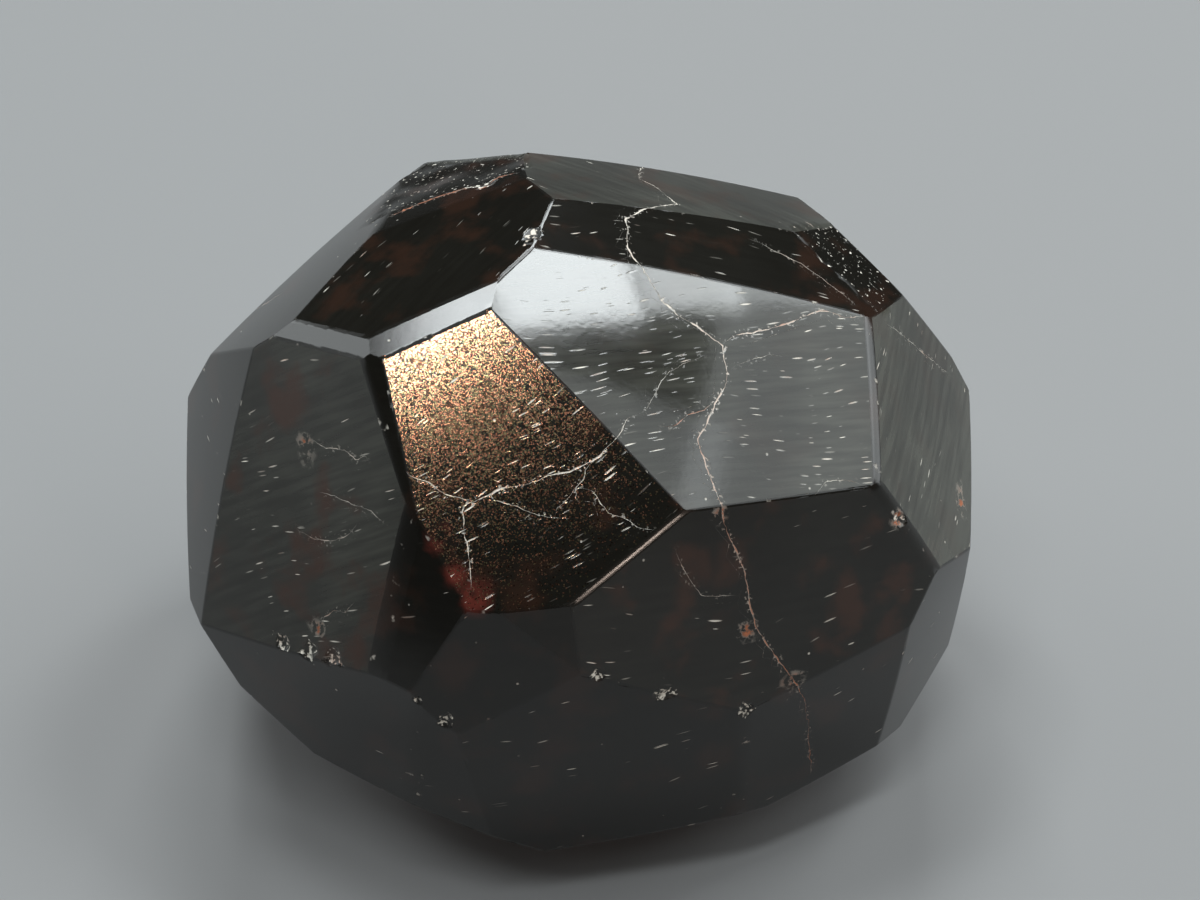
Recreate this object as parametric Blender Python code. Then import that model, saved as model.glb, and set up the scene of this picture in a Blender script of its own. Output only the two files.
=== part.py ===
"""Garnet crystal: one dark almandine crystal, worn and polished by hand, lying on its flat base.

The stone is cut from a block, one facet at a time. A facet is a direction from the heart of
the stone and a distance from that point, which is the mesh's own origin. The edges between
facets are then worn to narrow strips and the facets are crowned. Last, two ledges are broken
out and the bruises along the edges are scooped.
Azimuth 0 faces -Y, azimuth 90 faces +X, and elevation 90 faces +Z. Lengths are in metres
unless a comment says millimetres.
"""
import math

import bmesh
import bpy
from mathutils import Matrix, Vector

MM = 0.001

NAME = "garnet_crystal"
HEART_HEIGHT = 15.0 * MM     # the heart of the stone above its base
BLOCK_SIZE = 60.0 * MM       # the rough block that the facets are cut from
ON_PLANE = 0.001 * MM        # a corner this close to a cut lies on it
SHORTEST_EDGE = 0.06 * MM    # shorter edges are closed up after the cuts

# The facets: azimuth and elevation in degrees, and the distance from the heart in millimetres.
FACETS = {
    # the upper front, read from the bronze face outwards
    "bronze_face": (3, 45, 19.8),
    "bright_roof": (35.5, 56.5, 19.0),
    "front_right": (24, 15, 18.9),
    "right_shoulder": (72, 30.5, 21.5),
    "left_front": (-43.5, 23.5, 20.9),
    "dark_seam": (-27, 36, 21.9),
    "dark_corner": (-34, 21, 21.1),
    "left_flank": (-74, 18, 22.4),
    # the top
    "top_strip": (67, 69.5, 19.85),
    "top_left": (-94.5, 74, 21.1),
    "top_back": (143, 67.5, 19.6),
    "top_right_corner": (94, 60, 21.1),
    "crest": (-129, 66.5, 20.8),
    "left_roof": (-116, 48, 20.8),
    # the lower front
    "small_ledge": (5, 14, 20.45),
    "front_low": (0, 8.5, 20.4),
    "left_under": (-34, -11, 20.4),
    "left_under_inner": (-19, -14, 20.4),
    "front_under": (10.5, -9.5, 18.4),
    "front_under_right": (27.5, -8.5, 19.2),
    "right_under": (55, -9, 21.6),
    # the sides
    "right_side": (88, -4, 22.1),
    "right_back_roof": (122, 32, 21.3),
    "right_back_edge": (113, 24, 22.6),
    "left_side": (-90, -3.5, 21.9),
    "left_back_roof": (-128, 28, 19.7),
    # the back
    "back_roof": (172, 44, 18.4),
    "back_right": (132, 6, 21.0),
    "back": (170, 10, 19.5),
    "back_left": (-145, 10, 20.0),
    # the underside
    "base": (0, -90, HEART_HEIGHT / MM),
    "belly_left": (-36, -50, 17.6),
    "belly_front": (16, -52, 18.0),
    "belly_right": (36, -45, 19.5),
    "belly_far_right": (74, -30, 22.3),
    "belly_far_left": (-70, -25, 21.2),
    "belly_left_corner": (-56, -38, 19.6),
    "belly_back_right": (150, -45, 18.5),
    "belly_back_left": (-150, -45, 18.5),
    "belly_side": (-100, -40, 20.0),
}

CROWN_RADIUS = 130.0 * MM    # the curve that polishing left on every facet
GIRTH_RADIUS = 22.5 * MM     # the distance from the heart at which crowning moves nothing

EDGE_WEAR = 0.35 * MM        # the width of the strip worn along an ordinary edge
SOFT_EDGES = {               # wider strips, in millimetres
    ("front_right", "right_shoulder"): 1.0,
    ("left_front", "top_left"): 1.1,
    ("bronze_face", "top_left"): 0.9,
    ("dark_seam", "left_front"): 0.6,
    ("dark_corner", "left_front"): 1.2,
    ("left_under", "left_under_inner"): 1.2,
    ("front_under", "front_under_right"): 1.0,
    ("crest", "left_roof"): 0.9,
    ("bronze_face", "front_right"): 0.6,
}

# A ledge is broken out of a facet on the far side of a line, which runs between two directions.
LEDGE_REACH = 16.0 * MM      # how far the break reaches beyond its line
LEDGES = {
    # facet: the line's start and end as azimuth and elevation, and the depth in millimetres
    "crest": ((-107, 59.5), (-143, 75.5), 0.45),
    "top_right_corner": ((101, 54.5), (85, 43.5), 0.25),
}

# The bruises: the azimuth and elevation of each from the heart, with its width and depth in millimetres.
BRUISES = [
    (-47, 7.5, 1.0, 0.30),
    (-42, 9, 1.2, 0.35),
    (-38, 10, 1.1, 0.30),
    (-23, 9, 0.9, 0.30),
    (-19, 5.5, 1.1, 0.30),
    (3, 14, 0.9, 0.25),
    (13, 8, 1.2, 0.30),
    (27, 1, 1.2, 0.35),
    (57, 22, 1.0, 0.30),
    (-40, 80, 1.2, 0.30),
    (-134, 58, 1.8, 0.45),
    (-127, 72, 2.2, 0.50),
    (96, 50, 1.6, 0.40),
    (-150, 30, 2.2, 0.50),
    (104, 8, 1.8, 0.40),
    (165, -12, 2.4, 0.50),
]


def direction(azimuth, elevation):
    """The unit vector for an azimuth and elevation in degrees."""
    turn, lift = math.radians(azimuth), math.radians(elevation)
    return Vector((math.sin(turn) * math.cos(lift), -math.cos(turn) * math.cos(lift), math.sin(lift)))


def cut(bm, tags, tag, normal, distance):
    """Cut away everything beyond a plane, and close the cut with one face that carries tag."""
    everything = bm.verts[:] + bm.edges[:] + bm.faces[:]
    result = bmesh.ops.bisect_plane(bm, geom=everything, dist=ON_PLANE, plane_co=normal * distance,
                                    plane_no=normal, clear_outer=True)
    rim = [item for item in result["geom_cut"] if isinstance(item, bmesh.types.BMEdge) and item.is_boundary]
    for face in bmesh.ops.edgeloop_fill(bm, edges=rim)["faces"]:
        face[tags] = tag


def cut_facets(bm, tags, names):
    """Cut every facet, with the heart of the stone at the origin."""
    for tag, name in enumerate(names, start=1):
        azimuth, elevation, distance = FACETS[name]
        cut(bm, tags, tag, direction(azimuth, elevation), distance * MM)


def wear_edges(bm, tags, names):
    """Wear each edge between two facets down to a strip."""
    widths = {frozenset(pair): width * MM for pair, width in SOFT_EDGES.items()}
    strips = []
    for edge in bm.edges:
        first, second = edge.link_faces
        pair = frozenset((names[first[tags] - 1], names[second[tags] - 1]))
        middle = (first.normal + second.normal).normalized()
        half_turn = first.normal.angle(second.normal) / 2
        sink = widths.get(pair, EDGE_WEAR) / 2 * math.tan(half_turn)
        strips.append((middle, edge.verts[0].co.dot(middle) - sink))
    for middle, distance in strips:
        cut(bm, tags, 0, middle, distance)


def crown(bm):
    """Bow every facet outwards, the same way all over, so that the edges stay where they meet."""
    for vert in bm.verts:
        rise = (GIRTH_RADIUS ** 2 - vert.co.length_squared) / (2 * CROWN_RADIUS)
        vert.co += vert.co.normalized() * rise


def make_stone():
    """The faceted, worn and crowned stone, with its heart at the origin."""
    names = list(FACETS)
    bm = bmesh.new()
    bmesh.ops.create_cube(bm, size=BLOCK_SIZE)
    tags = bm.faces.layers.int.new("facet")
    cut_facets(bm, tags, names)
    bm.normal_update()
    wear_edges(bm, tags, names)
    bmesh.ops.dissolve_degenerate(bm, dist=SHORTEST_EDGE, edges=bm.edges[:])
    bmesh.ops.poke(bm, faces=[face for face in bm.faces if face[tags]])
    bmesh.ops.triangulate(bm, faces=bm.faces[:])
    bmesh.ops.subdivide_edges(bm, edges=bm.edges[:], cuts=1, use_grid_fill=True)
    crown(bm)
    cut(bm, tags, names.index("base") + 1, direction(*FACETS["base"][:2]), HEART_HEIGHT)
    bmesh.ops.dissolve_degenerate(bm, dist=SHORTEST_EDGE, edges=bm.edges[:])
    bmesh.ops.triangulate(bm, faces=bm.faces[:])
    mesh = bpy.data.meshes.new(NAME)
    bm.to_mesh(mesh)
    bm.free()
    return mesh


def standing_place(mesh):
    """Where the heart goes, so that the stone stands on z = 0 with its box centred on the origin."""
    across = [vert.co.x for vert in mesh.vertices]
    deep = [vert.co.y for vert in mesh.vertices]
    return (-(min(across) + max(across)) / 2, -(min(deep) + max(deep)) / 2, HEART_HEIGHT)


def make_material():
    """Dark red-brown garnet with a polish."""
    material = bpy.data.materials.new("garnet")
    material.use_nodes = True
    shader = material.node_tree.nodes["Principled BSDF"]
    shader.inputs["Base Color"].default_value = (0.035, 0.014, 0.012, 1.0)
    shader.inputs["Roughness"].default_value = 0.18
    shader.inputs["Metallic"].default_value = 0.0
    shader.inputs["IOR"].default_value = 1.79
    return material


def surface_point(stone, ray):
    """Where a ray from the heart leaves the stone."""
    hit, place, _, _ = stone.ray_cast(ray * BLOCK_SIZE, -ray)
    return place


def cut_with(stone, cutters, name, bm, frame):
    """Subtract a closed shape from the stone. frame places it, with the heart at the origin."""
    mesh = bpy.data.meshes.new(name)
    bm.to_mesh(mesh)
    bm.free()
    cutter = bpy.data.objects.new(name, mesh)
    cutter.matrix_world = stone.matrix_world @ frame
    cutter.hide_render = True
    cutter.display_type = "WIRE"
    cutters.objects.link(cutter)
    chip = stone.modifiers.new(name, "BOOLEAN")
    chip.operation = "DIFFERENCE"
    chip.object = cutter


def add_ledges(stone, cutters):
    """Break a thin slab off a facet beyond each line."""
    for name, (start, end, depth) in LEDGES.items():
        up = direction(*FACETS[name][:2])
        corner = surface_point(stone, direction(*start))
        along = surface_point(stone, direction(*end)) - corner
        along = (along - up * along.dot(up)).normalized()
        across = up.cross(along)
        turn = Matrix((along, across, up)).transposed().to_4x4()
        floor = corner + across * LEDGE_REACH / 2 + up * (LEDGE_REACH / 2 - depth * MM)
        bm = bmesh.new()
        bmesh.ops.create_cube(bm, size=LEDGE_REACH)
        cut_with(stone, cutters, f"{name}_ledge", bm, Matrix.Translation(floor) @ turn)


def add_bruises(stone, cutters):
    """Scoop a shallow bruise at each listed place."""
    for number, (azimuth, elevation, width, depth) in enumerate(BRUISES, start=1):
        ray = direction(azimuth, elevation)
        radius = (width * width / 4 + depth * depth) / (2 * depth) * MM
        centre = surface_point(stone, ray) + ray * (radius - depth * MM)
        bm = bmesh.new()
        bmesh.ops.create_icosphere(bm, subdivisions=3, radius=radius)
        cut_with(stone, cutters, f"bruise_{number}", bm, Matrix.Translation(centre))


def main():
    for item in list(bpy.data.objects):
        bpy.data.objects.remove(item, do_unlink=True)
    parts = bpy.data.collections.new(NAME)
    cutters = bpy.data.collections.new("cutters")
    bpy.context.scene.collection.children.link(parts)
    bpy.context.scene.collection.children.link(cutters)

    mesh = make_stone()
    mesh.materials.append(make_material())
    stone = bpy.data.objects.new(NAME, mesh)
    stone.location = standing_place(mesh)
    parts.objects.link(stone)
    bpy.context.view_layer.update()
    add_ledges(stone, cutters)
    add_bruises(stone, cutters)


main()
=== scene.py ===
"""The look of the garnet crystal: a fine mesh of the stone, its material, a pale floor and studio light.

The stone is made again from the facets that the solid was cut from, with rounder edges, nicks
and rough bruises. Only the facet dark_corner and the bruise on the top are a little different.
The point that facets are measured from is the heart of the stone. A place on the stone is given
by its azimuth and elevation from the heart, in degrees: azimuth 0 faces -Y, azimuth 90 faces +X,
and elevation 90 faces +Z.
"""
import math

import bmesh
import bpy
import numpy as np
from mathutils import Matrix, Vector, kdtree, noise
from mathutils.bvhtree import BVHTree

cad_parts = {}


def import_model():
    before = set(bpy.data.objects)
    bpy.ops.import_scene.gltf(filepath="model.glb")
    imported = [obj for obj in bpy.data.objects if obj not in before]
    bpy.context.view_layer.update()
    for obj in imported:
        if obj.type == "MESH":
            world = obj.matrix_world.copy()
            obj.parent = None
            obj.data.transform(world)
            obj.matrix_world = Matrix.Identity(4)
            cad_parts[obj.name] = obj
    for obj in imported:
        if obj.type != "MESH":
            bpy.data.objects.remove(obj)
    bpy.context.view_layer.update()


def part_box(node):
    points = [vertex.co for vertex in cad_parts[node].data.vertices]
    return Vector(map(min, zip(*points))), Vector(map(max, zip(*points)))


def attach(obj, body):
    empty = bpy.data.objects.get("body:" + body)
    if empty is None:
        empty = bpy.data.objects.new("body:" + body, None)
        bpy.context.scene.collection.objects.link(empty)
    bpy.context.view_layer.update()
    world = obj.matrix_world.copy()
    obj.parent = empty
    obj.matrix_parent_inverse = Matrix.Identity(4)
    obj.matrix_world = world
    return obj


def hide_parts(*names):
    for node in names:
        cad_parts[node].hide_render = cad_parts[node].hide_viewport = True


MM = 0.001
NODE = "garnet_crystal"
BODY = "root"

# --- the shape ---------------------------------------------------------------

HEART_HEIGHT = 15.0 * MM     # the heart, above the base
BLOCK_SIZE = 60.0 * MM       # the rough block that the facets are cut from
ON_PLANE = 0.0005 * MM       # a corner this close to a cut lies on it
SHORTEST_EDGE = 0.01 * MM    # shorter edges are closed up after the cuts

# The facets: azimuth, elevation, and the distance from the heart in millimetres.
FACETS = {
    # the upper front, read from the bronze face outwards
    "bronze_face": (3, 45, 19.8),
    "bright_roof": (35.5, 56.5, 19.0),
    "front_right": (24, 15, 18.9),
    "right_shoulder": (72, 30.5, 21.5),
    "left_front": (-43.5, 23.5, 20.9),
    "dark_seam": (-27, 36, 21.9),
    "dark_corner": (-31.5, 23.8, 21.45),
    "left_flank": (-74, 18, 22.4),
    # the top
    "top_strip": (67, 69.5, 19.85),
    "top_left": (-94.5, 74, 21.1),
    "top_back": (143, 67.5, 19.6),
    "top_right_corner": (94, 60, 21.1),
    "crest": (-129, 66.5, 20.8),
    "left_roof": (-116, 48, 20.8),
    # the lower front
    "small_ledge": (5, 14, 20.45),
    "front_low": (0, 8.5, 20.4),
    "left_under": (-34, -11, 20.4),
    "left_under_inner": (-19, -14, 20.4),
    "front_under": (10.5, -9.5, 18.4),
    "front_under_right": (27.5, -8.5, 19.2),
    "right_under": (55, -9, 21.6),
    # the sides
    "right_side": (88, -4, 22.1),
    "right_back_roof": (122, 32, 21.3),
    "right_back_edge": (113, 24, 22.6),
    "left_side": (-90, -3.5, 21.9),
    "left_back_roof": (-128, 28, 19.7),
    # the back
    "back_roof": (172, 44, 18.4),
    "back_right": (132, 6, 21.0),
    "back": (170, 10, 19.5),
    "back_left": (-145, 10, 20.0),
    # the underside
    "base": (0, -90, HEART_HEIGHT / MM),
    "belly_left": (-36, -50, 17.6),
    "belly_front": (16, -52, 18.0),
    "belly_right": (36, -45, 19.5),
    "belly_far_right": (74, -30, 22.3),
    "belly_far_left": (-70, -25, 21.2),
    "belly_left_corner": (-56, -38, 19.6),
    "belly_back_right": (150, -45, 18.5),
    "belly_back_left": (-150, -45, 18.5),
    "belly_side": (-100, -40, 20.0),
}

CROWN_RADIUS = 130.0 * MM    # the curve that polishing left on every facet
GIRTH_RADIUS = 22.5 * MM     # the distance from the heart at which crowning moves nothing

EDGE_WEAR = 0.30 * MM        # the width of an ordinary rounded edge
STRIP_WIDTH = 0.12 * MM      # the strips that a rounded edge is built from
MOST_STRIPS = 7
SOFT_EDGES = {               # edges with a width of their own, in millimetres, and without nicks
    ("front_right", "right_shoulder"): 1.2,
    ("bright_roof", "right_shoulder"): 0.8,
    ("bright_roof", "top_left"): 0.4,
    ("bright_roof", "bronze_face"): 0.2,
    ("dark_seam", "left_front"): 0.6,
    ("dark_corner", "left_front"): 1.6,
    ("left_under", "left_under_inner"): 1.6,
    ("front_under", "front_under_right"): 1.0,
    ("crest", "left_roof"): 0.9,
    ("bronze_face", "front_right"): 0.6,
}
FLAT_EDGES = {               # edges worn flat, and how deep that is at the middle, in millimetres
    ("left_front", "top_left"): 0.33,
    ("bronze_face", "top_left"): 0.36,
}

# A slab is broken off a facet beyond a line: where the line starts and ends, and the slab's
# thickness in millimetres.
LEDGES = {
    "crest": ((-107, 59.5), (-143, 75.5), 0.45),
    "top_right_corner": ((101, 54.5), (85, 43.5), 0.25),
}
LEDGE_REACH = 16.0 * MM      # how far beyond its line a slab is gone
LEDGE_WALL = 0.35 * MM       # the run of the sloping wall that it leaves

# The bruises: azimuth, elevation, and width and depth in millimetres.
BRUISES = [
    (-47, 7.5, 1.0, 0.30),
    (-42, 9, 1.2, 0.35),
    (-38, 10, 1.1, 0.30),
    (-23, 9, 0.9, 0.30),
    (-19, 5.5, 1.1, 0.30),
    (3, 14, 0.9, 0.25),
    (13, 8, 1.2, 0.30),
    (27, 1, 1.2, 0.35),
    (57, 22, 1.0, 0.30),
    (-40, 80, 1.2, 0.18),
    (-134, 58, 1.8, 0.45),
    (-127, 72, 2.2, 0.50),
    (96, 50, 1.6, 0.40),
    (-150, 30, 2.2, 0.50),
    (104, 8, 1.8, 0.40),
    (165, -12, 2.4, 0.50),
]

NICK_DEPTH = 0.12 * MM       # the deepest small nick along an edge
NICK_SCALE = 900.0           # nicks to the metre, for the noise that places them
NICK_CLUSTER = 7             # how many nicks wide a cluster of them is
BRUISE_SHARE = 0.6           # the depth of a ragged bruise, as a share of the solid's clean scoop
RAGGED_SCALE = 1300.0        # the grain of a bruise's rim, to the metre
RAGGED = 0.8                 # how ragged the rim is, as a share of its radius
FRACTURE_SCALE = 1800.0      # the grain of broken surfaces, to the metre
FRACTURE_DEPTH = 0.05 * MM
BROKEN_DROP = 0.05 * MM      # a point that sank this far lies wholly in a broken surface

# --- the cracks --------------------------------------------------------------

# Cracks that cross or meet are in different layers. Each has its strength (how wide and bright it is) and
# its rust (how much of the pale filling is rusty), spread evenly from end to end, and its azimuths and
# elevations.
CRACKS = [
    {
        "roof_to_foot": ((0.8, 0.5, 0.9, 0.8, 0.45), (0.0, 0.1, 0.1, 0.6, 1.0), [
            (168, 12), (171, 22), (164, 34), (168, 45), (160, 57), (149.5, 70), (138, 71), (115, 72.5),
            (104.5, 78.5), (80.5, 82.5), (63.5, 81.5), (46.5, 79.5), (42, 77.5), (42.5, 75.5), (41, 72.5),
            (40.5, 69), (43, 65.5), (46, 63), (47.5, 60.5), (49, 58.5), (47, 57), (44.5, 54.5), (42, 53),
            (39, 52), (36, 51), (33, 49.5), (30, 48), (27.5, 47), (27.5, 44.5), (27, 42.5), (27, 40),
            (27, 38), (27, 36), (27, 33.5), (28, 30), (29.5, 25.5), (29.5, 21), (30, 15.5), (32.5, 9.5),
            (35.5, 3.5), (38, -2.5), (41, -15.5), (43, -23.5),
        ]),
        "bronze_left": ((0.7, 0.7), (0.1, 0.1), [
            (-19, 39), (-22, 39), (-24.5, 39), (-28, 40), (-31, 40), (-32.5, 40.5),
        ]),
        "bronze_sub": ((0.55, 0.55), (0.1, 0.1), [
            (-17.5, 39.5), (-13, 39.5), (-8.5, 38.5), (-5, 38), (-1, 38),
        ]),
        "shoulder_pale": ((0.5, 0.5), (0, 0), [(85, 40), (88, 34), (90, 29), (93, 21.5)]),
        "left_upper": ((0.3, 0.5), (0.2, 0.2), [
            (-56, 37), (-50.5, 37.5), (-46.5, 39), (-43, 38.5), (-41.5, 40), (-40, 39),
        ]),
        "left_foot": ((0.6, 0.6), (0.5, 0.5), [
            (-41.5, 12.5), (-41, 14.5), (-39.5, 16.5), (-37.5, 17), (-36, 19.5),
        ]),
        "crest_rust": ((1.4, 2.4), (1.0, 1.0), [
            (-139.5, 77), (-130, 74), (-121, 71.5), (-110, 64.5), (-103.5, 60),
        ]),
        "corner_pale": ((0.3, 0.4), (0.0, 0.2), [(96, 63), (92, 59), (90, 54.5), (86, 49.5), (82.5, 45)]),
        "flank_back": ((0.6, 0.6), (0.4, 0.4), [(-120, 5), (-112, 12), (-109, 22), (-98, 30), (-95, 42)]),
    },
    {
        "bronze_main": ((0.55, 0.9, 0.8, 0.5), (0.1, 0.1), [
            (16, 53), (12, 52.5), (10.5, 50.5), (7, 48.5), (3.5, 46.5), (-1.5, 45), (-6.5, 44),
            (-10.5, 42.5), (-15, 41.5), (-17.5, 40), (-19, 39), (-21, 38), (-20, 35), (-18.5, 32.5),
            (-17, 28.5), (-16.5, 26.5),
        ]),
        "roof_right": ((0.8, 0.6), (0.2, 0.4), [
            (49, 58.5), (54.5, 58.5), (60, 56.5), (67, 54), (72.5, 52), (77, 50), (78.5, 46.5), (81.5, 43.5),
        ]),
        "roof_rust": ((0.8, 0.6), (0.5, 1.0), [(37, 51.5), (33, 51), (28, 51), (23.5, 50), (19.5, 50.5)]),
        "foot_hairline": ((0.35, 0.35), (0.2, 0.2), [
            (17, 32.5), (18, 29.5), (19.5, 26), (21, 23.5), (28, 21.5),
        ]),
        "left_middle": ((0.3, 0.45), (0.1, 0.1), [(-50, 31), (-46, 32), (-42, 32.5), (-37, 33), (-33, 32)]),
        "back_branch": ((0.7, 0.7), (0.3, 0.3), [(164, 34), (150, 30), (141, 20), (133, 16), (126, -2)]),
    },
    {
        "roof_wisp": ((0.3, 0.3), (0, 0), [(45, 54.5), (49.5, 54.5), (58, 52.5), (60.5, 50.5)]),
        "roof_faint": ((0.25, 0.25), (0, 0), [
            (43.5, 58.5), (34.5, 59), (28, 58.5), (22, 56), (18, 53.5), (12, 52.5),
        ]),
        "roof_low": ((0.35, 0.35), (0, 0), [(43.5, 32), (48, 33), (51.5, 31.5), (53.5, 29.5)]),
        "bronze_small": ((0.55, 0.55), (0.1, 0.1), [
            (3.5, 46.5), (1.5, 45), (1.5, 44), (-0.5, 42.5), (-2, 41), (-4, 39.5), (-4.5, 38),
        ]),
        "bronze_right": ((0.6, 0.6), (0.05, 0.05), [
            (0, 42.5), (3, 42), (4.5, 40), (6, 38.5), (9, 37.5), (11, 36), (13.5, 35.5), (14.5, 35),
        ]),
        "left_lower": ((0.3, 0.4), (0.3, 0.3), [(-52, 24), (-47, 24.5), (-43, 26), (-40, 28.5), (-39, 31)]),
        "back_low": ((0.6, 0.6), (0.2, 0.2), [(171, 22), (-178, 16), (-170, 15), (-160, 8), (-157, -8)]),
    },
]
CRACK_REACH = 0.7            # how far from a crack its layer is kept, in millimetres
CRACK_TAPER = 1.5            # the length over which a crack runs out, in millimetres
CRACK_POINTS = 6             # the points along each stretch of a crack that the mesh is finer at
NO_CRACK = 9.0               # the offset from a crack, in millimetres, where there is none

# Rusty spots: azimuth, elevation and radius in millimetres.
RUST_SPOTS = [
    (28.5, 15, 0.45),
    (35.5, 3.5, 0.40),
    (26.5, 35.5, 0.30),
    (75, 12, 0.40),
    (-41.5, 12.5, 0.30),
    (-55, 36, 0.35),
    (57, 22, 0.35),
]

# A painted red glow, standing in for light that shines through the stone near its thin edges: azimuth,
# elevation and radius in millimetres.
PAINTED_GLOWS = [
    (-16, 26, 0.7),
    (-19.5, 28.5, 0.5),
    (-23.5, 32.5, 0.5),
]
SURFACE_REACH = 20.0         # how far the surface is from the heart, near enough, in millimetres

# --- the mesh ----------------------------------------------------------------

COARSE_STEP = 1.8 * MM       # the longest edge in the middle of a facet
FINE_STEP = 0.34 * MM        # the longest edge at a crack or a worn edge
BRUISE_STEP = 0.14 * MM      # the longest edge in a bruise
GRADING = 0.9                # how fast the mesh coarsens away from them
HALVINGS = 7                 # the most times that an edge is divided
RESHADED = 0.01 * MM         # a point that moved this far is shaded by the mesh's own normal


def direction(azimuth, elevation):
    """The unit vector for an azimuth and elevation in degrees."""
    turn, lift = math.radians(azimuth), math.radians(elevation)
    return Vector((math.sin(turn) * math.cos(lift), -math.cos(turn) * math.cos(lift), math.sin(lift)))


def cut(bm, tags, tag, normal, distance):
    """Cut away everything beyond a plane, and close the cut with one face that carries tag."""
    everything = bm.verts[:] + bm.edges[:] + bm.faces[:]
    result = bmesh.ops.bisect_plane(bm, geom=everything, dist=ON_PLANE, plane_co=normal * distance,
                                    plane_no=normal, clear_outer=True)
    rim = [item for item in result["geom_cut"] if isinstance(item, bmesh.types.BMEdge) and item.is_boundary]
    for face in bmesh.ops.edgeloop_fill(bm, edges=rim)["faces"]:
        face[tags] = tag


def round_edges(bm, tags, names):
    """Round each edge between two facets with strips that touch one curve.

    A flat edge gets one wide strip, with a narrow one along each side of it. The strips' tags are
    negative. This gives back their normals, the tags of those on soft edges, and the wide strips' tags.
    """
    widths = {frozenset(pair): width * MM for pair, width in SOFT_EDGES.items()}
    flat = {frozenset(pair): sink * MM for pair, sink in FLAT_EDGES.items()}
    strips, soft, wide = [], [], []
    for edge in bm.edges:
        first, second = edge.link_faces
        pair = frozenset((names[first[tags] - 1], names[second[tags] - 1]))
        corner = edge.verts[0].co
        half_turn = first.normal.angle(second.normal) / 2
        middle = (first.normal + second.normal).normalized()
        if pair in flat:
            sinks = [(0.5, flat[pair])]
            border = flat[pair] * math.sin(half_turn / 2) / math.sin(half_turn)
            border += EDGE_WEAR / 2 * math.tan(half_turn / 2)
            sinks += [(0.25, border), (0.75, border)]
            wide.append(-len(strips) - 1)
        else:
            width = widths.get(pair, EDGE_WEAR)
            radius = width / 2 / math.sin(half_turn)
            axis = corner - middle * radius / math.cos(half_turn)
            count = min(MOST_STRIPS, round(width / STRIP_WIDTH))
            sinks = []
            for step in range(1, count + 1):
                normal = first.normal.slerp(second.normal, step / (count + 1))
                sinks.append((step / (count + 1), normal.dot(corner - axis) - radius))
        for share, sink in sinks:
            normal = first.normal.slerp(second.normal, share)
            strips.append((normal, normal.dot(corner) - sink))
            if pair in widths or pair in flat:
                soft.append(-len(strips))
    for number, (normal, distance) in enumerate(strips, start=1):
        cut(bm, tags, -number, normal, distance)
    return [normal for normal, _ in strips], soft, wide


def unit(rows):
    """Each row at a length of 1."""
    return rows / np.linalg.norm(rows, axis=1, keepdims=True)


def surface_point(tree, ray):
    """Where a ray from the heart leaves the stone."""
    return tree.ray_cast(ray * BLOCK_SIZE, -ray)[0]


def vertex_places(mesh):
    """The place of each vertex, as rows."""
    places = np.empty(len(mesh.vertices) * 3)
    mesh.vertices.foreach_get("co", places)
    return places.reshape(-1, 3)


def vertex_normals(mesh):
    """The mesh's own normal at each vertex, as rows."""
    normals = np.empty(len(mesh.vertices) * 3)
    mesh.vertex_normals.foreach_get("vector", normals)
    return normals.reshape(-1, 3)


def face_corners(mesh):
    """The vertex at each corner of the triangles, and the tag of the facet or strip there."""
    tags = np.empty(len(mesh.polygons), dtype=np.int32)
    mesh.attributes["facet"].data.foreach_get("value", tags)
    corners = np.empty(len(mesh.loops), dtype=np.int32)
    mesh.loops.foreach_get("vertex_index", corners)
    return corners, np.repeat(tags, 3)


def vertices_of(pairs, count, name):
    """Which of the vertices belong to a facet."""
    chosen = np.zeros(count, dtype=bool)
    chosen[pairs[pairs[:, 1] == list(FACETS).index(name) + 1, 0]] = True
    return chosen


def crowned(place):
    """Where polishing leaves a point: facets bow outwards, and edges stay where they meet."""
    rise = (GIRTH_RADIUS ** 2 - place.length_squared) / (2 * CROWN_RADIUS)
    return place + place.normalized() * rise


def crack_lines():
    """Every crack, as (layer, strength, rust, points on the unit sphere)."""
    for layer, cracks in enumerate(CRACKS):
        for strength, rust, places in cracks.values():
            yield layer, strength, rust, [direction(*place) for place in places]


def detail_points(tree, bm, tags):
    """Points along the cracks and the worn edges, and in the spots, on the uncrowned stone."""
    points = []
    for _, _, _, line in crack_lines():
        for start, end in zip(line, line[1:]):
            for step in range(CRACK_POINTS):
                points.append(surface_point(tree, start.lerp(end, step / CRACK_POINTS).normalized()))
    for azimuth, elevation, _ in RUST_SPOTS + PAINTED_GLOWS:
        points.append(surface_point(tree, direction(azimuth, elevation)))
    for edge in bm.edges:
        if any(face[tags] <= 0 for face in edge.link_faces):
            start, end = (vert.co for vert in edge.verts)
            count = max(1, round((end - start).length / (FINE_STEP * 2)))
            points.extend(start.lerp(end, step / count) for step in range(count + 1))
    return points


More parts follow.
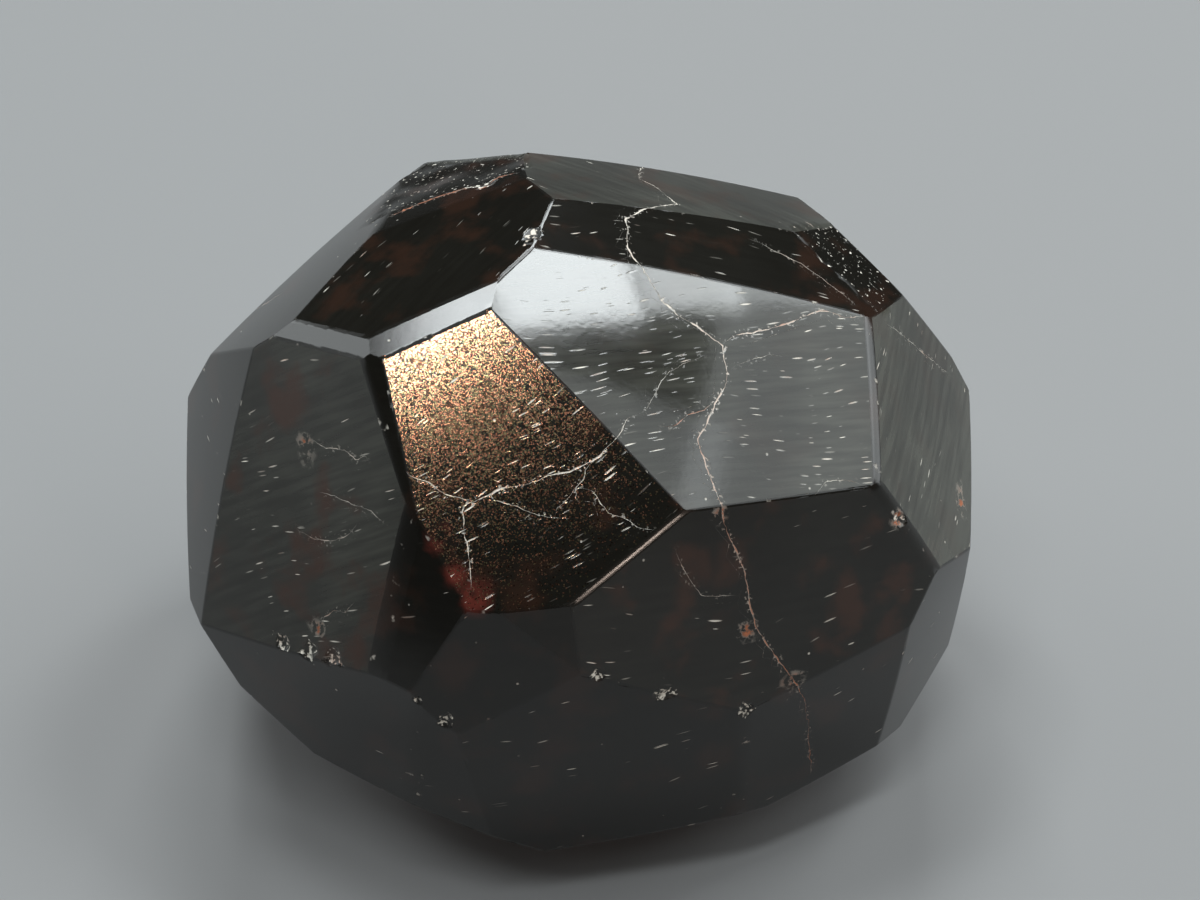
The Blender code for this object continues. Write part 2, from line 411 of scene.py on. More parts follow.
def refine(bm, tags):
    """Divide long edges, more finely the closer they are to a crack, a worn edge or a bruise."""
    tree = BVHTree.FromBMesh(bm)
    points = detail_points(tree, bm, tags)
    details = kdtree.KDTree(len(points))
    for index, point in enumerate(points):
        details.insert(point, index)
    details.balance()
    bruises = [(surface_point(tree, direction(azimuth, elevation)), width / 2 * MM)
               for azimuth, elevation, width, _ in BRUISES]

    def too_long(edge):
        length = edge.calc_length()
        if length > COARSE_STEP:
            return True
        if length < BRUISE_STEP:
            return False
        middle = (edge.verts[0].co + edge.verts[1].co) / 2
        _, _, away = details.find(middle)
        if length > FINE_STEP + GRADING * away:
            return True
        return any(length > BRUISE_STEP + GRADING * max(0.0, (middle - centre).length - radius)
                   for centre, radius in bruises)

    for _ in range(HALVINGS):
        long_edges = [edge for edge in bm.edges if too_long(edge)]
        if not long_edges:
            break
        bmesh.ops.subdivide_edges(bm, edges=long_edges, cuts=1)
        bmesh.ops.triangulate(bm, faces=[face for face in bm.faces if len(face.verts) > 3])


def facet_normals(pairs, count, table, shift, wide):
    """The normal of the facets or strips at each vertex, and which vertices lie inside a worn edge.

    The row of table for a tag is the tag plus shift.
    """
    flat = (pairs[:, 1] > 0) | np.isin(pairs[:, 1], wide)
    on_facet = np.zeros(count, dtype=bool)
    on_facet[pairs[flat, 0]] = True
    used = pairs[flat | ~on_facet[pairs[:, 0]]]
    sums = np.zeros((count, 3))
    np.add.at(sums, used[:, 0], table[used[:, 1] + shift])
    return unit(sums), ~on_facet


def bowed(normals, places):
    """The normals once the facets are crowned."""
    level = places - normals * (normals * places).sum(axis=1)[:, None]
    return unit(normals + level / CROWN_RADIUS)


def grain(places, scale):
    """Noise from -1 to 1 at each place."""
    return np.array([noise.noise(Vector(place) * scale) for place in places])


def break_ledges(places, tree):
    """Press the surface beyond each ledge's line down by the slab's thickness."""
    for name, (start, end, depth) in LEDGES.items():
        up = direction(*FACETS[name][:2])
        corner = surface_point(tree, direction(*start))
        along = surface_point(tree, direction(*end)) - corner
        along = (along - up * along.dot(up)).normalized()
        across = up.cross(along)
        away = places - np.array(corner)
        beyond = away @ np.array(across)
        near = (beyond > 0) & (beyond < LEDGE_REACH) & (abs(away @ np.array(along)) < LEDGE_REACH / 2)
        rough = grain(places[near], FRACTURE_SCALE / 4) * FRACTURE_DEPTH * 2
        height = (away @ np.array(up))[near]
        floor = -depth * MM * np.clip(beyond[near] / LEDGE_WALL + rough / MM * 3, 0, 1) + rough
        drop = np.clip(height - floor, 0, None)
        places[near] -= drop[:, None] * np.array(up)


def scoop_bruises(places, tree):
    """Scoop a shallow bruise with a ragged rim and a rough floor at each listed place."""
    for azimuth, elevation, width, depth in BRUISES:
        ray = direction(azimuth, elevation)
        depth = depth * BRUISE_SHARE
        radius = (width * width / 4 + depth * depth) / (2 * depth) * MM
        centre = np.array(surface_point(tree, ray) + ray * (radius - depth * MM))
        away = places - centre
        near = np.linalg.norm(away + np.array(ray) * radius, axis=1) < width * MM
        back = away[near] @ np.array(ray)
        side = np.sqrt(np.clip((away[near] ** 2).sum(axis=1) - back ** 2, 0, None))
        ragged = grain(places[near], RAGGED_SCALE) + 0.4 * grain(places[near], RAGGED_SCALE * 2.7)
        side = side * (1 + RAGGED * ragged)
        rough = grain(places[near], FRACTURE_SCALE) * FRACTURE_DEPTH
        floor = rough - np.sqrt(np.clip(radius ** 2 - side ** 2, 0, None))
        drop = np.where(side < radius, np.clip(back - floor, 0, depth * 2 * MM), 0)
        places[near] -= drop[:, None] * np.array(ray)


def nick_edges(places, worn):
    """Press small nicks, in clusters, into the worn points."""
    spots = places[worn]
    bite = np.clip(grain(spots, NICK_SCALE) - 0.1, 0, 1)
    bite *= np.clip(grain(spots, NICK_SCALE / NICK_CLUSTER) + 0.4, 0, 1)
    places[worn] -= unit(spots) * (bite * NICK_DEPTH)[:, None]


def value_at(progress, values):
    """The value at each share of a crack's length, from values that are spread evenly along it."""
    return np.interp(progress, np.linspace(0, 1, len(values)), values)


def crack_layers(places):
    """For each layer of cracks: the offset from the nearest crack in mm, its strength and its rust."""
    rays = unit(places)
    reach = np.linalg.norm(places, axis=1) / MM
    layers = [np.tile((NO_CRACK, 0.0, 0.0), (len(places), 1)) for _ in CRACKS]
    nearest = [np.full(len(places), NO_CRACK) for _ in CRACKS]
    for layer, strength, rust, line in crack_lines():
        lengths = [(end - start).length for start, end in zip(line, line[1:])]
        passed = 0.0
        for start, end, length in zip(line, line[1:], lengths):
            first, step = np.array(start), np.array(end - start)
            away = rays - first
            share = away @ step / length ** 2
            gap = np.linalg.norm(away - np.clip(share, 0, 1)[:, None] * step, axis=1) * reach
            closer = gap < np.minimum(nearest[layer], CRACK_REACH)
            nearest[layer][closer] = gap[closer]
            side = np.sign(np.einsum("ij,ij->i", np.cross(step, away[closer]), rays[closer]))
            run = passed + share[closer] * length
            ends = np.minimum(run, sum(lengths) - run) * reach[closer] / CRACK_TAPER
            presence = np.clip(2 * (1 - gap[closer] / CRACK_REACH), 0, 1) * np.clip(ends, 0, 1)
            layers[layer][closer, 0] = side * gap[closer]
            progress = np.clip(run / sum(lengths), 0, 1)
            layers[layer][closer, 1] = presence * value_at(progress, strength)
            layers[layer][closer, 2] = value_at(progress, rust)
            passed += length
    return layers


def lay_of(pairs, places):
    """Where each vertex lies on its facet, along and across the grain, and a depth for each facet."""
    lay = np.zeros((len(places), 3))
    for number, name in enumerate(FACETS, start=1):
        up = direction(*FACETS[name][:2])
        level = Vector((0, 0, 1)).cross(up).normalized() if abs(up.z) < 0.99 else Vector((1, 0, 0))
        turn = math.radians(GRAIN.get(name, PLAIN_GRAIN))
        along = level * math.cos(turn) + up.cross(level) * math.sin(turn)
        chosen = vertices_of(pairs, len(places), name)
        lay[chosen, 0] = places[chosen] @ np.array(along)
        lay[chosen, 1] = places[chosen] @ np.array(up.cross(along))
        lay[chosen, 2] = number * MM
    return lay


def spread(pairs, count, values, plain):
    """A number for each vertex, from a number for each facet."""
    each = np.full(count, plain)
    for name, value in values.items():
        each[vertices_of(pairs, count, name)] = value
    return each


def spots_near(places, spots):
    """How far inside a spot each place is, from 0 to 1."""
    inside = np.zeros(len(places))
    rays = unit(places)
    for azimuth, elevation, radius in spots:
        away = np.linalg.norm(rays - np.array(direction(azimuth, elevation)), axis=1) * SURFACE_REACH
        inside = np.maximum(inside, np.clip(1.5 - away / radius, 0, 1))
    return inside


def shift_share(places, before, full):
    """How far each vertex was moved, as a share of full, up to 1."""
    return np.clip(np.linalg.norm(places - before, axis=1) / full, 0, 1)


def lustre_and_highlight_share(places):
    """How strong the bronze lustre and its painted highlight are: it fades away from its middle into painted
    shade.
    """
    azimuth, elevation, full, nothing = BRONZE_LUSTRE_AND_HIGHLIGHT
    away = np.linalg.norm(unit(places) - np.array(direction(azimuth, elevation)), axis=1) * SURFACE_REACH
    return np.clip((nothing - away) / (nothing - full), 0, 1) ** LUSTRE_AND_HIGHLIGHT_FADE


def keep(mesh, name, values):
    """Store a number or a vector for each vertex, for the material to read."""
    kind = "FLOAT" if values.ndim == 1 else "FLOAT_VECTOR"
    attribute = mesh.attributes.new(name, kind, "POINT")
    attribute.data.foreach_set("value" if values.ndim == 1 else "vector", values.astype(np.float32).ravel())


def cut_stone():
    """The stone with crowned facets and rounded edges, a tree of its surface, and its strips."""
    bm = bmesh.new()
    bmesh.ops.create_cube(bm, size=BLOCK_SIZE)
    tags = bm.faces.layers.int.new("facet")
    for tag, (azimuth, elevation, distance) in enumerate(FACETS.values(), start=1):
        cut(bm, tags, tag, direction(azimuth, elevation), distance * MM)
    bm.normal_update()
    strips = round_edges(bm, tags, list(FACETS))
    bmesh.ops.dissolve_degenerate(bm, dist=SHORTEST_EDGE, edges=bm.edges[:])
    bmesh.ops.poke(bm, faces=[face for face in bm.faces if face[tags] > 0])
    bmesh.ops.triangulate(bm, faces=bm.faces[:])
    refine(bm, tags)
    for vert in bm.verts:
        vert.co = crowned(vert.co)
    tree = BVHTree.FromBMesh(bm)
    mesh = bpy.data.meshes.new("stone")
    bm.to_mesh(mesh)
    bm.free()
    return mesh, tree, strips


def keep_marks(mesh, pairs, places, worn, broken):
    """Keep everything that the material needs to know at each vertex."""
    count = len(places)
    keep(mesh, "worn", worn.astype(float))
    keep(mesh, "broken", broken)
    # the bronze lustre with its painted highlight, fading to painted shade away from it
    keep(mesh, "bronze", vertices_of(pairs, count, "bronze_face") * lustre_and_highlight_share(places))
    keep(mesh, "haze", spread(pairs, count, HAZE, PLAIN_HAZE))
    keep(mesh, "flecked", spread(pairs, count, FLECKED, PLAIN_FLECKED))
    keep(mesh, "milky_and_reflection", spread(pairs, count, MILKY_AND_REFLECTION, PLAIN_MILKY_AND_REFLECTION))
    keep(mesh, "red", spread(pairs, count, RED, PLAIN_RED))
    keep(mesh, "lay", lay_of(pairs, places))
    keep(mesh, "rust", spots_near(places, RUST_SPOTS))
    keep(mesh, "painted_glow", spots_near(places, PAINTED_GLOWS))
    for number, layer in enumerate(crack_layers(places), start=1):
        keep(mesh, f"cracks_{number}", layer)


def make_stone():
    """The mesh of the stone: cut, nicked, broken and bruised, with its marks and its shading."""
    mesh, tree, (strip_normals, soft_strips, wide_strips) = cut_stone()
    corners, corner_tags = face_corners(mesh)
    pairs, count = np.unique(np.stack((corners, corner_tags), axis=1), axis=0), len(mesh.vertices)
    shift = len(strip_normals)
    facet_directions = [direction(azimuth, elevation) for azimuth, elevation, _ in FACETS.values()]
    table = np.array(strip_normals[::-1] + [Vector()] + facet_directions)
    normals, worn = facet_normals(pairs, count, table, shift, wide_strips)
    soft = np.zeros(count, dtype=bool)
    soft[pairs[np.isin(pairs[:, 1], soft_strips), 0]] = True

    places = vertex_places(mesh)
    whole = places.copy()
    nick_edges(places, worn & ~soft)
    break_ledges(places, tree)
    ledged = places.copy()
    scoop_bruises(places, tree)
    broken = 0.4 * shift_share(places, whole, BROKEN_DROP) + 0.6 * shift_share(places, ledged, BROKEN_DROP)
    places[:, 2] = np.maximum(places[:, 2], -HEART_HEIGHT)
    mesh.vertices.foreach_set("co", places.ravel())
    mesh.update()
    keep_marks(mesh, pairs, places, worn, broken)

    # facets and flat edges have sharp borders, and the other edges are shaded round
    mesh.shade_smooth()
    flat = (corner_tags > 0) | np.isin(corner_tags, wide_strips)
    true = bowed(np.where(flat[:, None], table[corner_tags + shift], normals[corners]), whole[corners])
    moved = shift_share(places, whole, RESHADED)[corners][:, None]
    mesh.normals_split_custom_set(unit(true * (1 - moved) + vertex_normals(mesh)[corners] * moved))
    return mesh


# --- the material ------------------------------------------------------------

# The bronze lustre with a painted highlight: strongest at its middle, where the light's highlight falls, and
# fading away from it into painted shade. Azimuth and elevation of its middle, and where it starts to fade
# and has faded, in mm.
BRONZE_LUSTRE_AND_HIGHLIGHT = (-33, 55, 2.5, 14.0)
LUSTRE_AND_HIGHLIGHT_FADE = 1.5            # how fast it fades between the two

PLAIN_GRAIN = 10             # how far a facet's grain is turned from level, in degrees
GRAIN = {
    "bright_roof": -18,
    "bronze_face": 30,
    "front_right": -5,
    "top_left": -38,
    "top_strip": -62,
    "left_front": 40,
}
PLAIN_FLECKED = 0.03         # the share of the places for a fleck that have one
FLECKED = {
    "bright_roof": 0.34,
    "bronze_face": 0.32,
    "front_right": 0.06,
    "right_shoulder": 0.10,
    "top_left": 0.14,
    "top_strip": 0.16,
    "left_front": 0.14,
    "back_roof": 0.20,
    "right_back_roof": 0.14,
}

PLAIN_HAZE = 0.14            # the roughness of an ordinary facet
HAZE = {
    "bright_roof": 0.06,
    "bronze_face": 0.11,
    "right_shoulder": 0.20,
    "left_front": 0.22,
    "front_right": 0.20,
    "top_back": 0.34,
    "small_ledge": 0.30,
    "front_low": 0.24,
    "top_left": 0.12,
    "top_strip": 0.16,
    "back_roof": 0.24,
    "back_left": 0.22,
}

PLAIN_MILKY_AND_REFLECTION = 0.05           # how milky the stone looks under a facet, and how much painted reflection lightens that facet
MILKY_AND_REFLECTION = {
    "bright_roof": 0.55,
    "right_shoulder": 1.15,
    "left_front": 0.50,
    "top_back": 0.60,
    "front_right": 0.10,
    "back_roof": 0.50,
    "right_back_roof": 0.40,
    "left_back_roof": 0.40,
}
PLAIN_RED = 0.35             # how much reddish brown shows under a facet
RED = {
    "left_front": 0.80,
    "front_right": 0.70,
    "top_left": 0.35,
    "crest": 0.50,
    "bright_roof": 0.10,
    "right_shoulder": 0.15,
}

BLACK_OLIVE = (0.0035, 0.003, 0.002, 1)
RED_BROWN = (0.034, 0.013, 0.007, 1)
# the milky colour, which also paints reflection onto the lighter facets
MILKY_REFLECTION_OLIVE = (0.050, 0.051, 0.042, 1)
# the colour of the painted glow, for light that shines through the stone
PAINTED_GLOW_RED = (0.08, 0.016, 0.011, 1)
PALE = (0.70, 0.66, 0.58, 1)
RUST = (0.32, 0.10, 0.04, 1)
COPPER = (0.90, 0.40, 0.24, 1)
OLIVE_GOLD = (0.42, 0.36, 0.19, 1)

FLECK_CELLS = (900, 7000, 1000)   # places for a fleck to the metre, along and across the grain
FLECK_BEND = 0.004                # how far the rows of flecks are bent, in metres
DUST_SCALE = 900.0                # places for a speck of dust to the metre
DUST_SHARE = 0.22                 # the share of them that have one
FLAKE_SCALE = 17000.0             # copper flakes to the metre
FLAKE_SHARE = 0.80                # the share of the surface that they take where the lustre and its painted highlight are full
STREAK_CELLS = (250, 2600, 1000)  # milky streaks to the metre, along and across the grain

CRACK_WAVER = 0.28           # how far a crack wavers from its line, in millimetres
CRACK_WIDTH = 0.058          # how far a crack of full strength reaches to each side, in millimetres
CRACK_LEAST = 0.004          # what the thinnest crack has of that
CRUMB_REACH = 0.30           # how far crumbs lie from a crack, in millimetres

GRAINS = {                   # the grain of each noise in the material, to the metre
    "clouds": 130,
    "red": 330,
    # the grain of the painted red glow
    "painted_glow": 900,
    "fleck_patches": 240,
    "fleck_bend": 110,
    "crack_waver": 1400,
    "crack_width_1": 1070,
    "crack_width_2": 1240,
    "crack_width_3": 1410,
    "crack_gaps": 2200,
    "crack_crumbs": 5200,
    "edge_crumbs": 1300,
    "sugar": 4200,
    "rust": 2600,
    "rusty": 500,
    "polish": 700,
    "glitter": 13000,
    "ripple": 260,
    "fine": 3000,
}

UNEVEN_POLISH = 0.04         # how much rougher than its facet's haze the dullest patch is
FLAKE_ROUGHNESS = 0.05       # added on a copper flake
BROKEN_ROUGHNESS = 0.45      # at least this in a bruise
WORN_ROUGHNESS = 0.20        # at least this on a worn edge
MARK_ROUGHNESS = 0.5         # added on a crack, a fleck or a crumb
GARNET_IOR = 1.76
SPECULAR_LEVEL = 0.28        # less than all of it, so that the pale floor leaves the lower facets dark

GLITTER_HEIGHT = 0.002       # the heights of the fine relief, in millimetres
RIPPLE_HEIGHT = 0.006
FINE_HEIGHT = 0.0012
MARK_DEPTH = 0.02


class Nodes:
    """A short way to write a node tree: each call adds a node and gives back its output."""

    def __init__(self, tree):
        self.tree = tree

    def add(self, kind, inputs, output=0, **settings):
        """Add a node with its inputs and settings. An output of None gives back all of them."""
        node = self.tree.nodes.new(kind)
        for name, value in settings.items():
            setattr(node, name, value)
        for name, value in inputs.items():
            if isinstance(value, bpy.types.NodeSocket):
                self.tree.links.new(value, node.inputs[name])
            else:
                node.inputs[name].default_value = value
        return node.outputs if output is None else node.outputs[output]

    def math(self, operation, first, second=0.0, third=0.0, clamp=False):
        """One step of arithmetic."""
        return self.add("ShaderNodeMath", {0: first, 1: second, 2: third},
                        operation=operation, use_clamp=clamp)

    def times(self, first, second, clamp=False):
        """The product."""
        return self.math("MULTIPLY", first, second, clamp=clamp)

    def plus(self, base, amount, value, clamp=False):
        """The base, and a value times an amount on top."""
        return self.math("MULTIPLY_ADD", value, amount, base, clamp=clamp)

    def larger(self, first, second, clamp=False):
        """The larger of two values."""
        return self.math("MAXIMUM", first, second, clamp=clamp)

    def ramp(self, value, low, high, start=0.0, end=1.0):
        """start below low, end above high, and a smooth step between them."""
        return self.add("ShaderNodeMapRange", {"Value": value, "From Min": low, "From Max": high,
                                               "To Min": start, "To Max": end},
                        interpolation_type="SMOOTHSTEP")

    def mix(self, share, first, second):
        """The first colour, with a share of the second over it."""
        return self.add("ShaderNodeMix", {0: share, 6: first, 7: second}, 2, data_type="RGBA")

    def noise(self, place, grain, detail=2.0, output="Fac"):
        """Noise with the grain that GRAINS has under that name."""
        return self.add("ShaderNodeTexNoise", {"Vector": place, "Scale": GRAINS[grain], "Detail": detail},
                        output)

    def stretched(self, place, cells):
        """The place, counted in cells of their own length on each axis."""
        return self.add("ShaderNodeMapping", {"Vector": place, "Scale": cells})

    def cells(self, place, scale):
        """Random cells: the distance from the cell's middle, and three random numbers for the cell."""
        away, colour, *_ = self.add("ShaderNodeTexVoronoi", {"Vector": place, "Scale": scale}, None)
        return (away, *self.add("ShaderNodeSeparateColor", {0: colour}, None))

    def kept(self, name, output="Fac"):
        """What the mesh keeps under that name."""
        return self.add("ShaderNodeAttribute", {}, output, attribute_name=name)


def crack_mask(nodes, place, layer):
    """Where the thin lines of one layer of cracks are, and how rusty they are."""
    kept = nodes.kept(f"cracks_{layer}", "Vector")
    offset, strength, rust = nodes.add("ShaderNodeSeparateXYZ", {0: kept}, None)
    waver = nodes.math("SUBTRACT", nodes.noise(place, "crack_waver", 3.0), 0.5)
    offset = nodes.math("ABSOLUTE", nodes.plus(offset, CRACK_WAVER, waver))
    uneven = nodes.ramp(nodes.noise(place, f"crack_width_{layer}", 3.0), 0.35, 0.7, 0.15, 1.3)
    thick = nodes.times(nodes.times(uneven, CRACK_WIDTH), strength)
    thick = nodes.math("ADD", thick, CRACK_LEAST)
    line = nodes.math("SUBTRACT", 1.0, nodes.math("DIVIDE", offset, thick), clamp=True)
    bright = nodes.times(nodes.math("POWER", line, 0.6), nodes.ramp(strength, 0.0, 0.45))
    bright = nodes.times(bright, nodes.ramp(nodes.noise(place, "crack_gaps"), 0.36, 0.50, 0.35, 1.0))
    halo = nodes.math("SUBTRACT", 1.0, nodes.math("DIVIDE", offset, CRUMB_REACH), clamp=True)
    crumbs = nodes.times(halo, nodes.ramp(nodes.noise(place, "crack_crumbs"), 0.60, 0.68))
    crumbs = nodes.times(crumbs, nodes.times(strength, 0.8))
    return nodes.larger(bright, crumbs, clamp=True), rust


def fleck_mask(nodes, place, lay):
    """Short pale dashes along the grain of each facet, in patches."""
    bend = nodes.noise(place, "fleck_bend", 1.0, "Color")
    bend = nodes.add("ShaderNodeVectorMath", {0: bend, 3: FLECK_BEND}, operation="SCALE")
    bent = nodes.add("ShaderNodeVectorMath", {0: bend, 1: lay}, operation="ADD")
    away, chance, brightness, size = nodes.cells(nodes.stretched(bent, FLECK_CELLS), 1.0)
    away = nodes.math("DIVIDE", away, nodes.plus(0.5, 0.8, size))
    dash = nodes.ramp(away, 0.15, 0.34, 1.0, 0.0)
    chosen = nodes.math("LESS_THAN", chance, nodes.kept("flecked"))
    dashes = nodes.times(dash, nodes.times(chosen, nodes.math("POWER", brightness, 1.3)))
    return nodes.times(dashes, nodes.ramp(nodes.noise(place, "fleck_patches"), 0.38, 0.60))


def dust_mask(nodes, place):
    """Tiny pale specks all over."""
    away, chance, brightness, _ = nodes.cells(place, DUST_SCALE)
    chosen = nodes.math("LESS_THAN", chance, DUST_SHARE)
    return nodes.times(nodes.ramp(away, 0.03, 0.09, 1.0, 0.0), nodes.times(chosen, brightness))


def body_colour(nodes, place, lay):
    """The stone's colour: nearly black, with milky streaks that are partly painted reflection, reddish
    clouds, and a painted red glow that stands in for light shining through it.
    """
    streaks = nodes.add("ShaderNodeTexNoise", {"Vector": nodes.stretched(lay, STREAK_CELLS),
                                               "Scale": 1.0, "Detail": 4.0})
    # milky streaks, with each facet's share partly painted reflection
    milky_and_reflection = nodes.times(nodes.kept("milky_and_reflection"), nodes.ramp(streaks, 0.30, 0.75, 0.6, 1.3))
    clouds = nodes.ramp(nodes.noise(place, "clouds", 3.0), 0.35, 0.70, 0.55, 1.15)
    colour = nodes.mix(nodes.times(milky_and_reflection, clouds, clamp=True), BLACK_OLIVE, MILKY_REFLECTION_OLIVE)
    red = nodes.times(nodes.kept("red"), nodes.ramp(nodes.noise(place, "red", 5.0), 0.50, 0.68))
    colour = nodes.mix(red, colour, RED_BROWN)
    # painted red glow: colour standing in for light that shines through the stone
    painted_glow = nodes.times(nodes.kept("painted_glow"), nodes.ramp(nodes.noise(place, "painted_glow", 3.0), 0.30, 0.65))
    return nodes.mix(painted_glow, colour, PAINTED_GLOW_RED)


def copper_flakes(nodes, place, bronze):
    """Where the flakes of the bronze face are, and their colour; they thin out away from the painted
    highlight.
    """
    _, hue, chance, brightness = nodes.cells(place, FLAKE_SCALE)
    colour = nodes.mix(nodes.ramp(hue, 0.2, 0.8), OLIVE_GOLD, COPPER)
    colour = nodes.mix(nodes.ramp(brightness, 0.1, 0.9), RED_BROWN, colour)
    return nodes.math("LESS_THAN", chance, nodes.times(bronze, FLAKE_SHARE)), colour


def pale_marks(nodes, place, lay, worn, broken):
    """Where the flecks, the dust, the cracks and the crumbs are, and their colour."""
    marks = nodes.larger(fleck_mask(nodes, place, lay), nodes.times(dust_mask(nodes, place), 0.6))
    spots, spot_grain = nodes.kept("rust"), nodes.noise(place, "rust", 3.0)
    rust = nodes.times(spots, nodes.ramp(spot_grain, 0.42, 0.6))
    for layer in range(1, len(CRACKS) + 1):
        line, rusty = crack_mask(nodes, place, layer)
        marks = nodes.larger(marks, line)
        rust = nodes.larger(rust, nodes.times(line, rusty))
    crumbs = nodes.times(worn, nodes.ramp(nodes.noise(place, "edge_crumbs", 3.0), 0.64, 0.76))
    marks = nodes.larger(marks, nodes.times(crumbs, 0.5))
    sugar = nodes.plus(nodes.noise(place, "sugar", 4.0), 0.16, nodes.math("POWER", broken, 2.0))
    sugar = nodes.times(nodes.ramp(sugar, 0.65, 0.75), nodes.ramp(broken, 0.05, 0.3))
    marks = nodes.larger(marks, nodes.times(sugar, 0.85))
    marks = nodes.larger(marks, nodes.times(spots, nodes.ramp(spot_grain, 0.45, 0.62)))
    stains = nodes.ramp(nodes.noise(place, "rusty"), 0.5, 0.8, 0, 0.6)
    rusty = nodes.plus(stains, 1.6, rust, clamp=True)
    return marks, nodes.mix(rusty, PALE, RUST)


def roughness(nodes, place, metal, marks, worn, broken):
    """The polish, which is duller on flakes, marks, worn edges and bruises."""
    rough = nodes.plus(nodes.kept("haze"), UNEVEN_POLISH, nodes.noise(place, "polish", 4.0))
    rough = nodes.plus(rough, FLAKE_ROUGHNESS, metal)
    rough = nodes.larger(rough, nodes.times(broken, BROKEN_ROUGHNESS))
    rough = nodes.larger(rough, nodes.times(worn, WORN_ROUGHNESS))
    return nodes.plus(rough, MARK_ROUGHNESS, marks, clamp=True)


def relief(nodes, place, bronze, marks):
    """The fine relief: glitter on the bronze face, a faint ripple, and cracks and flecks cut in."""
    glitter = nodes.times(nodes.noise(place, "glitter", 1.0), nodes.times(bronze, GLITTER_HEIGHT))
    height = nodes.plus(glitter, RIPPLE_HEIGHT, nodes.noise(place, "ripple"))
    height = nodes.plus(height, FINE_HEIGHT, nodes.noise(place, "fine", 3.0))
    height = nodes.plus(height, -MARK_DEPTH, marks)
    return nodes.add("ShaderNodeBump", {"Height": height, "Distance": MM, "Strength": 1.0})


def make_garnet():
    """The material of the stone."""
    material = bpy.data.materials.new("garnet")
    material.use_nodes = True
    tree = material.node_tree
    nodes = Nodes(tree)
    place = nodes.add("ShaderNodeTexCoord", {}, "Object")
    lay = nodes.kept("lay", "Vector")
    bronze, worn, broken = (nodes.kept(name) for name in ("bronze", "worn", "broken"))
    metal, metal_colour = copper_flakes(nodes, place, bronze)
    marks, mark_colour = pale_marks(nodes, place, lay, worn, broken)
    colour = nodes.mix(metal, body_colour(nodes, place, lay), metal_colour)
    metal = nodes.times(metal, nodes.math("SUBTRACT", 1.0, marks))
    looks = {
        "Base Color": nodes.mix(marks, colour, mark_colour),
        "Metallic": metal,
        "Roughness": roughness(nodes, place, metal, marks, worn, broken),
        "Normal": relief(nodes, place, bronze, marks),
    }
    shader = tree.nodes["Principled BSDF"]
    for name, look in looks.items():
        tree.links.new(look, shader.inputs[name])
    shader.inputs["IOR"].default_value = GARNET_IOR
    shader.inputs["Specular IOR Level"].default_value = SPECULAR_LEVEL
    return material


# --- the studio --------------------------------------------------------------

CAMERA_ELEVATION = 40        # the camera's place from the heart, in degrees and millimetres
CAMERA_DISTANCE = 193.8
CAMERA_TILT = 39.056         # how far below the horizon the camera looks, in degrees
CAMERA_TURN = -0.494         # how far it looks to the right of the heart, in degrees
LENS = 100                   # in millimetres, as the next
SENSOR_WIDTH = 36
CLIP_START = 0.01            # in metres

FLOOR_SIZE = 4.0
FLOOR_DROP = 0.02 * MM       # the floor lies this far below the base
FLOOR_GREY = (0.185, 0.186, 0.187, 1)
FLOOR_ROUGHNESS = 0.8
WORLD_GREY = (0.03, 0.031, 0.033, 1)
LIGHT_DISTANCE = 0.6         # from the heart to each light, in metres

COOL = (0.93, 0.985, 1.0)
WARM = (1.0, 0.80, 0.68)

# Each soft light: azimuth and elevation of its middle, the direction that its length runs towards,
# its width and length in metres, its brightness in watts per steradian and square metre, and its colour.
LIGHTS = {
    "bronze_glow": ((-13.2, 63), (118.6, 0), 0.06, 0.26, 26.0, COOL),
    "band_glow": ((-114, 76), (0, 0), 0.16, 0.16, 19.0, COOL),
    "roof_highlight": ((111, 65), (115.4, 27.6), 0.18, 0.10, 18.5, COOL),
    "roof_highlight_fade": ((113, 56.5), (115.4, 27.6), 0.17, 0.07, 11.0, COOL),
    "roof_highlight_end": ((114, 48), (115.4, 27.6), 0.16, 0.10, 4.5, COOL),
    "right_panel": ((88, 40), (0, 0), 0.30, 0.60, 2.1, COOL),
    "right_lower": ((61, 54.8), (0, 0), 0.14, 0.30, 1.8, COOL),
    "right_edge": ((106, 19), (106, 80), 0.22, 0.38, 2.8, COOL),
    "left_low": ((-100, 12), (170, 0), 0.30, 0.60, 0.6, COOL),
    "left_upper": ((-103, 36), (170, 0), 0.24, 0.30, 3.2, COOL),
    "left_back": ((-128, 22), (170, 0), 0.20, 0.24, 3.0, COOL),
    "rim_glow": ((172, 67), (90, 0), 0.12, 0.12, 12.0, COOL),
    "back": ((180, 50), (90, 0), 0.14, 0.24, 15.0, COOL),
    "low_glint": ((28, 17), (118, 0), 0.05, 0.06, 50.0, WARM),
}


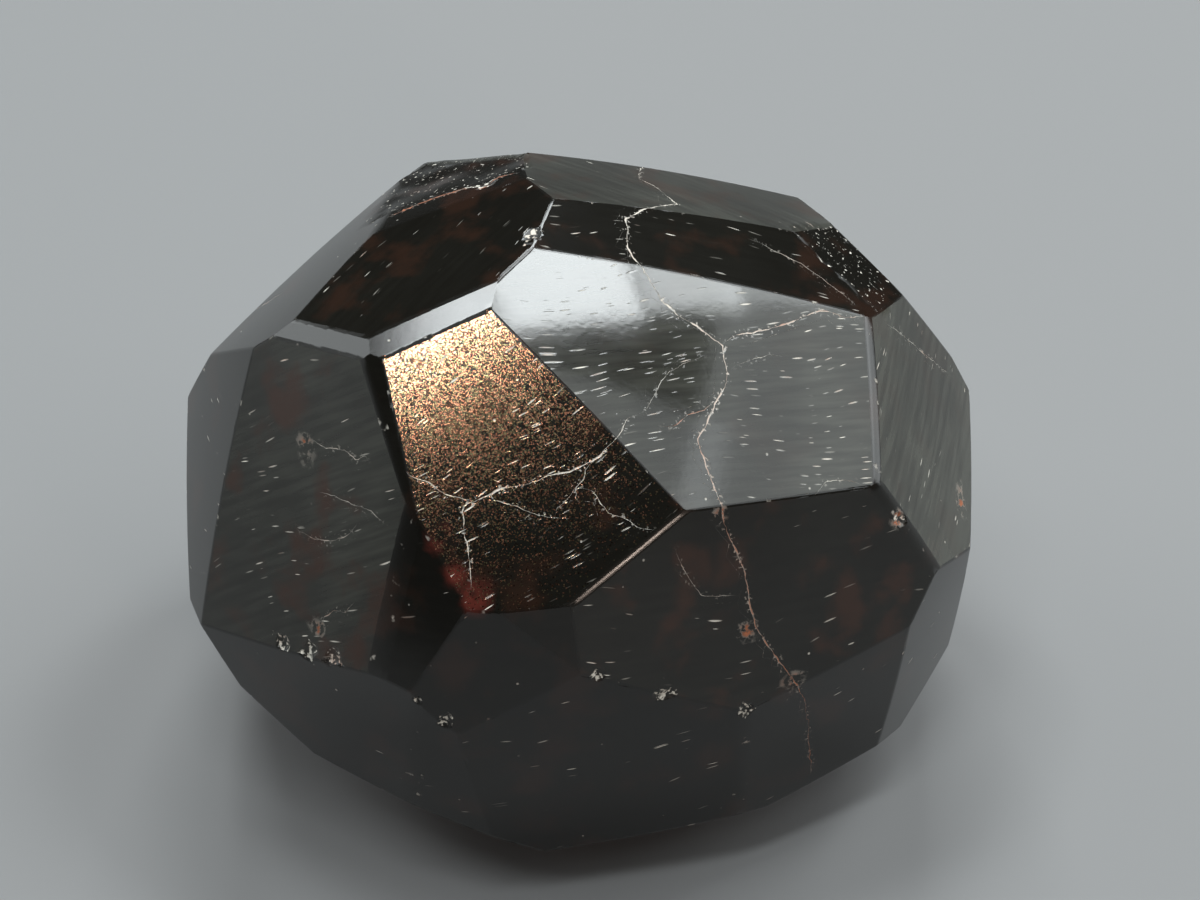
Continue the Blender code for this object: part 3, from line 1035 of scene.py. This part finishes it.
def add_light(name, heart, middle, towards, width, length, radiance, colour):
    """A soft light that faces the heart."""
    data = bpy.data.lights.new(name, "AREA")
    data.shape = "RECTANGLE"
    data.size = length
    data.size_y = width
    data.energy = radiance * math.pi * width * length
    data.color = colour
    back = direction(*middle)
    along = direction(*towards)
    along = (along - back * along.dot(back)).normalized()
    turn = Matrix((along, back.cross(along), back)).transposed().to_4x4()
    light = bpy.data.objects.new(name, data)
    light.matrix_world = Matrix.Translation(heart + back * LIGHT_DISTANCE) @ turn
    bpy.context.scene.collection.objects.link(light)


def add_camera(heart):
    """The camera, at the photo's angle."""
    data = bpy.data.cameras.new("camera")
    data.lens = LENS
    data.sensor_width = SENSOR_WIDTH
    data.clip_start = CLIP_START
    camera = bpy.data.objects.new("camera", data)
    camera.location = heart + direction(0, CAMERA_ELEVATION) * CAMERA_DISTANCE * MM
    camera.rotation_euler = (math.radians(90 - CAMERA_TILT), 0, math.radians(CAMERA_TURN))
    bpy.context.scene.collection.objects.link(camera)
    bpy.context.scene.camera = camera


def add_floor():
    """The plain floor."""
    bpy.ops.mesh.primitive_plane_add(size=FLOOR_SIZE, location=(0, 0, -FLOOR_DROP))
    floor = bpy.context.active_object
    floor.name = "floor"
    material = bpy.data.materials.new("floor")
    material.use_nodes = True
    shader = material.node_tree.nodes["Principled BSDF"]
    shader.inputs["Base Color"].default_value = FLOOR_GREY
    shader.inputs["Roughness"].default_value = FLOOR_ROUGHNESS
    floor.data.materials.append(material)


def set_colours():
    """Show the light as it is, without a film curve."""
    bpy.context.scene.view_settings.view_transform = "Standard"


def add_world():
    """A little plain light from all around."""
    world = bpy.data.worlds.new("studio")
    bpy.context.scene.world = world
    world.use_nodes = True
    world.node_tree.nodes["Background"].inputs["Color"].default_value = WORLD_GREY


def standing_place(mesh):
    """Where the heart goes, so that the stone fills the solid's place."""
    places = vertex_places(mesh)
    low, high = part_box(NODE)
    middle = (places.min(axis=0) + places.max(axis=0)) / 2
    return Vector(((low.x + high.x) / 2 - middle[0], (low.y + high.y) / 2 - middle[1], HEART_HEIGHT))


def main():
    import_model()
    mesh = make_stone()
    mesh.materials.append(make_garnet())
    heart = standing_place(mesh)
    stone = bpy.data.objects.new("stone", mesh)
    stone.location = heart
    bpy.context.scene.collection.objects.link(stone)
    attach(stone, BODY)
    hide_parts(NODE)
    add_camera(heart)
    add_floor()
    add_world()
    set_colours()
    for name, light in LIGHTS.items():
        add_light(name, heart, *light)


main()
